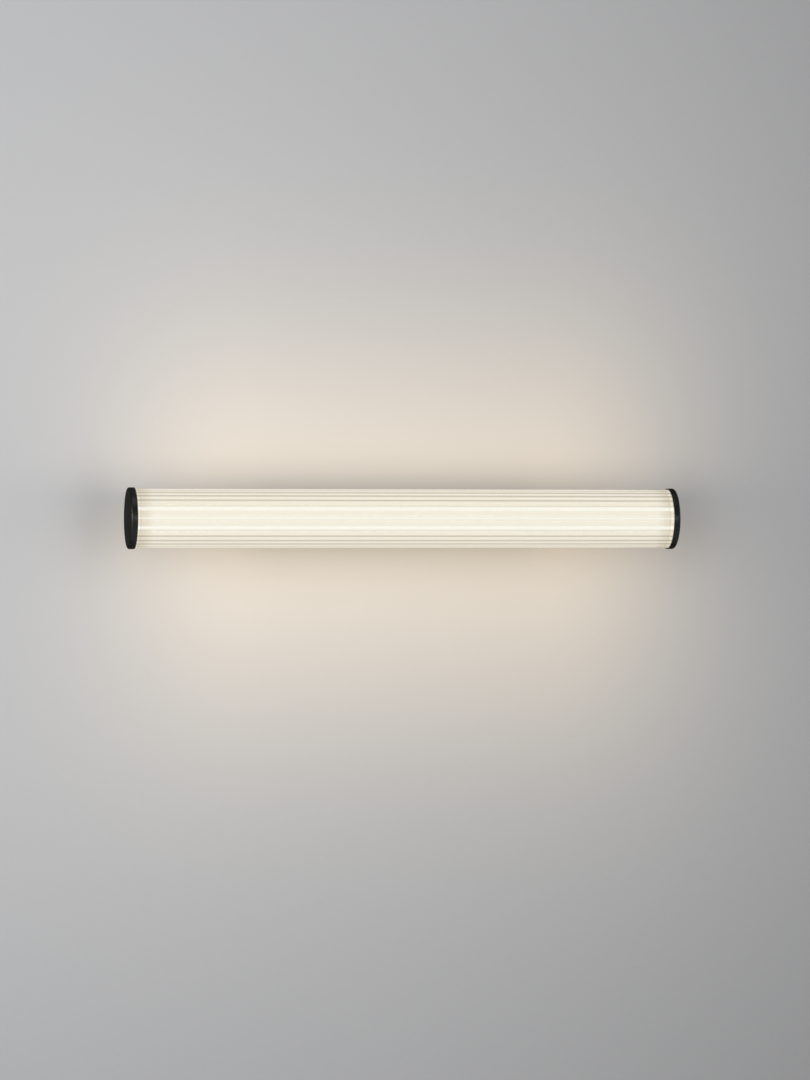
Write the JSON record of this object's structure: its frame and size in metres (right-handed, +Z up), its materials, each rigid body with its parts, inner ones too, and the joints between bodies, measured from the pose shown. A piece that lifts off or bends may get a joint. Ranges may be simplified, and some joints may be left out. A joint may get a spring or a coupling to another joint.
{
  "type": "wall light",
  "caption": "Long ribbed glass tube wall light with slim dark end caps, held off the wall by short stems on a shallow rear housing.",
  "frame": {"origin": "middle of the wall bracket's back face, on the wall plane", "axes": "+X along the tube, to the right of someone facing the light; +Y into the wall; +Z up"},
  "size_m": [0.6, 0.104, 0.066],
  "materials": {
    "ribbed_glass": "clear ribbed glass, polished",
    "opal_diffuser": "opal acrylic, glows warm white when lit",
    "black_caps": "satin black powder coat on turned aluminium",
    "black_housing": "satin black powder coat on drawn steel",
    "black_spacers": "satin black anodised aluminium",
    "silicone": "translucent silicone, moulded",
    "foam_gasket": "closed-cell foam, die cut",
    "spine_aluminium": "extruded, natural anodised",
    "plate_aluminium": "turned",
    "led_board": "white solder mask on aluminium-core board",
    "led_chip": "phosphor face in a white case",
    "zinc_steel": "zinc plated",
    "bracket_steel": "galvanised sheet, folded",
    "brass": "turned",
    "white_nylon": "moulded nylon",
    "black_nylon": "moulded nylon",
    "driver_plastic": "moulded polycarbonate, fine spark texture",
    "wire_brown": "PVC wire insulation",
    "wire_blue": "PVC wire insulation",
    "wire_green": "PVC wire insulation with a yellow stripe",
    "wire_red": "PVC wire insulation",
    "wire_black": "PVC wire insulation",
    "tinned_copper": "tinned"
  },
  "bodies": {
    "root": {"glass_tube": "ribbed_glass", "diffuser_tube": "opal_diffuser", "right_end_cap": "black_caps", "left_end_cap": "black_caps", "cap_studs": "zinc_steel", "right_end_seal": "silicone", "left_end_seal": "silicone", "right_end_plate": "plate_aluminium", "left_end_plate": "plate_aluminium", "end_plate_screws": "zinc_steel", "led_spine": "spine_aluminium", "upper_led_board": "led_board", "lower_led_board": "led_board", "upper_led_chips": "led_chip", "lower_led_chips": "led_chip", "led_board_screws": "white_nylon", "positive_led_lead": "wire_red", "negative_led_lead": "wire_black", "board_link_lead": "wire_black", "right_stem": "zinc_steel", "left_stem": "zinc_steel", "right_spacer": "black_spacers", "left_spacer": "black_spacers", "right_saddle_seal": "silicone", "left_saddle_seal": "silicone", "stem_washers": "zinc_steel", "stem_nuts": "zinc_steel", "wire_bush": "black_nylon", "rear_housing": "black_housing", "wall_gasket": "foam_gasket", "wall_bracket": "bracket_steel", "housing_screws": "black_housing", "cable_bush": "black_nylon", "terminal_block": "white_nylon", "terminal_barrels": "brass", "terminal_screws": "zinc_steel", "terminal_block_screws": "zinc_steel", "driver_case": "driver_plastic", "driver_lid": "driver_plastic", "driver_screws": "zinc_steel", "earth_stud": "brass", "earth_lug": "tinned_copper", "earth_washer": "zinc_steel", "earth_nut": "brass", "live_lead": "wire_brown", "neutral_lead": "wire_blue", "earth_lead": "wire_green"}
  },
  "joints": []
}
